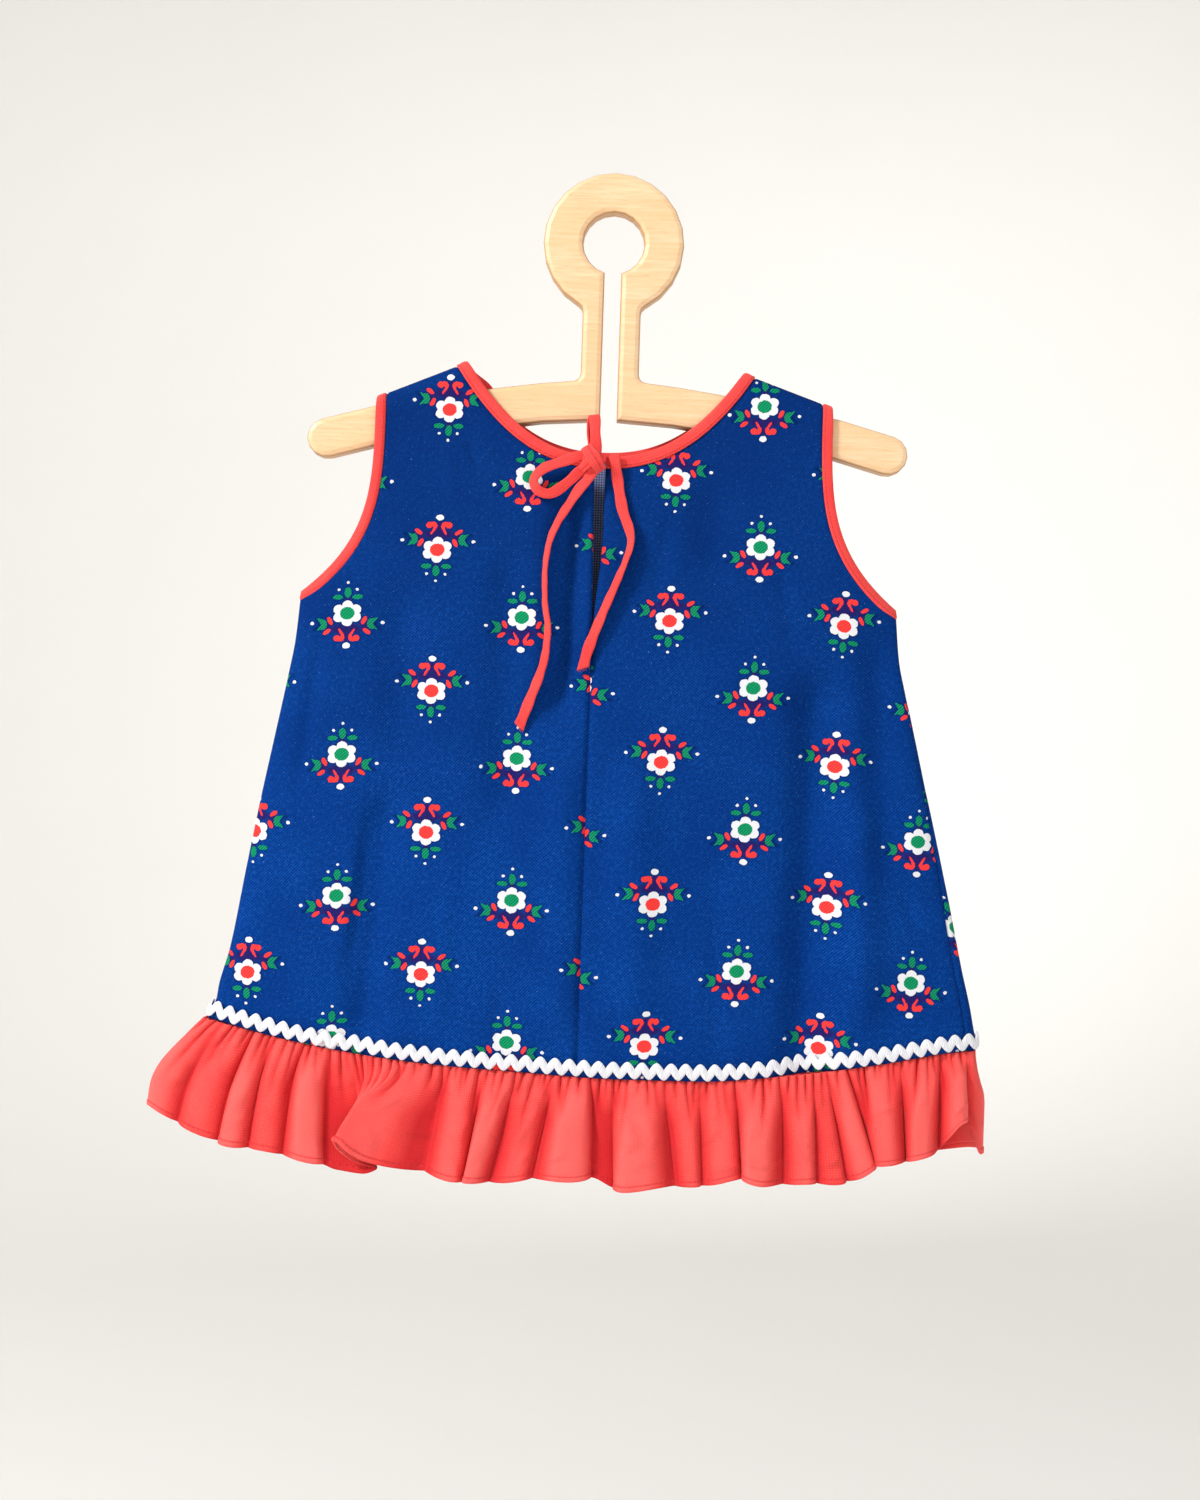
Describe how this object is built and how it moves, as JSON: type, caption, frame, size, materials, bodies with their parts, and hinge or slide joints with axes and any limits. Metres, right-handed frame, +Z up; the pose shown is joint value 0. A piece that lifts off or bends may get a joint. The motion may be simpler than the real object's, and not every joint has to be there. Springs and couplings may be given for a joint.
{
  "type": "tunic on hanger",
  "caption": "Sleeveless A-line tunic in printed cotton with a gathered hem ruffle, zigzag braid, bound neck slit with tied bow, hanging on a flat plywood hanger.",
  "frame": {"origin": "top of the round hole in the hanger's ring, in the middle of the board's thickness, where the wall's nail bears", "axes": "+Z up; the near side, with the neck slit and the bow, faces -Y; +X to the right of someone who faces that side"},
  "size_m": [0.4208, 0.0537, 0.5075],
  "materials": {
    "printed_cotton": "matt cotton twill with a small printed flower repeat",
    "red_cotton": "matt plain weave cotton",
    "white_braid": "soft ribbed woven braid",
    "birch_plywood": "sanded, clear satin"
  },
  "bodies": {
    "root": {"hanger": "birch_plywood", "panel_near_left": "printed_cotton", "panel_near_right": "printed_cotton", "panel_far": "printed_cotton", "neck_binding": "red_cotton", "armhole_binding_left": "red_cotton", "armhole_binding_right": "red_cotton", "rickrack_near": "white_braid", "rickrack_far": "white_braid", "ruffle_near": "red_cotton", "ruffle_far": "red_cotton", "tie_knot": "red_cotton", "bow_loop_side": "red_cotton", "bow_loop_up": "red_cotton", "tie_tail_left": "red_cotton", "tie_tail_right": "red_cotton"}
  },
  "joints": []
}
